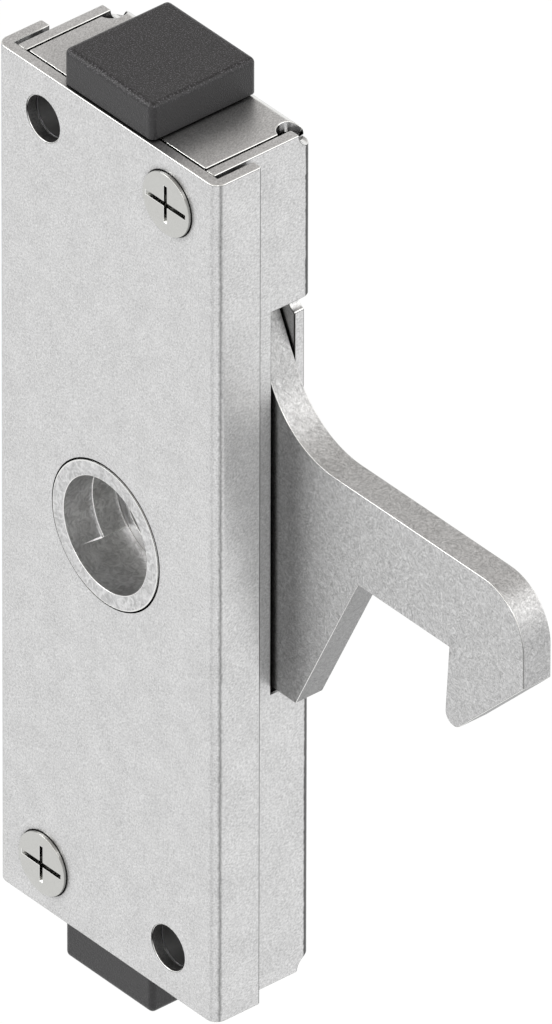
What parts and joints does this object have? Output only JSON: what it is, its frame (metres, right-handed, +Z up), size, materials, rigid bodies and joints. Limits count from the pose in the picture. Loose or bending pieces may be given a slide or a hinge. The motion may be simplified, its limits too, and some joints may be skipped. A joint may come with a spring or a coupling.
{
  "type": "hook latch",
  "caption": "Surface latch in a folded steel case: a spring-returned hook with a down-turned claw swings from a slot, driven by a round hub in the cover.",
  "frame": {"origin": "axis of the hub, on the front face of the cover", "axes": "+X out of the case along the hook's arm, +Y from the front face back into the case, +Z up along the case"},
  "size_m": [0.1093, 0.0227, 0.1708],
  "materials": {
    "zinc_sheet": "dull zinc plating with a fine mottle",
    "galvanised_hook": "satin galvanised, with a coarser mottle",
    "hub_metal": "satin",
    "screw_metal": "smooth, half bright",
    "turned_steel": "turned",
    "spring_steel": "oiled dark",
    "bush_brass": "turned",
    "buffer_rubber": "matt black",
    "black_plastic": "finely textured black"
  },
  "bodies": {
    "case": {"front_cover": "zinc_sheet", "back_case": "zinc_sheet", "guide_plate": "zinc_sheet", "cover_screw_upper": "screw_metal", "cover_screw_lower": "screw_metal", "end_block_screw_top": "screw_metal", "end_block_screw_bottom": "screw_metal", "end_block_washer_top": "screw_metal", "end_block_washer_bottom": "screw_metal", "spring_post": "turned_steel", "closed_stop_post": "turned_steel", "mounting_sleeve_upper": "turned_steel", "mounting_sleeve_lower": "turned_steel", "threaded_spacer_upper": "turned_steel", "threaded_spacer_lower": "turned_steel", "front_spacer_upper_left": "turned_steel", "front_spacer_upper_right": "turned_steel", "front_spacer_lower_left": "turned_steel", "front_spacer_lower_right": "turned_steel", "return_spring": "spring_steel", "spring_post_clip": "spring_steel", "rear_bush": "bush_brass", "closed_stop_buffer": "buffer_rubber", "end_block_top": "black_plastic", "end_block_bottom": "black_plastic"},
    "hook_assembly": {"hook": "galvanised_hook", "drive_hub": "hub_metal", "drive_disc": "hub_metal", "hub_screws": "screw_metal", "drive_pins": "turned_steel", "pivot_stud": "turned_steel", "crank_pin": "turned_steel", "crank_pin_clip": "spring_steel"}
  },
  "joints": [
    {"name": "hook_swing", "type": "hinge", "parent": "case", "child": "hook_assembly", "pos_m": [0, 0, 0], "axis": [0, -1, 0], "range_deg": [0, 35], "stiffness_Nm_per_rad": 0.4, "springref_deg": -34.38, "deforming": ["return_spring"]}
  ]
}
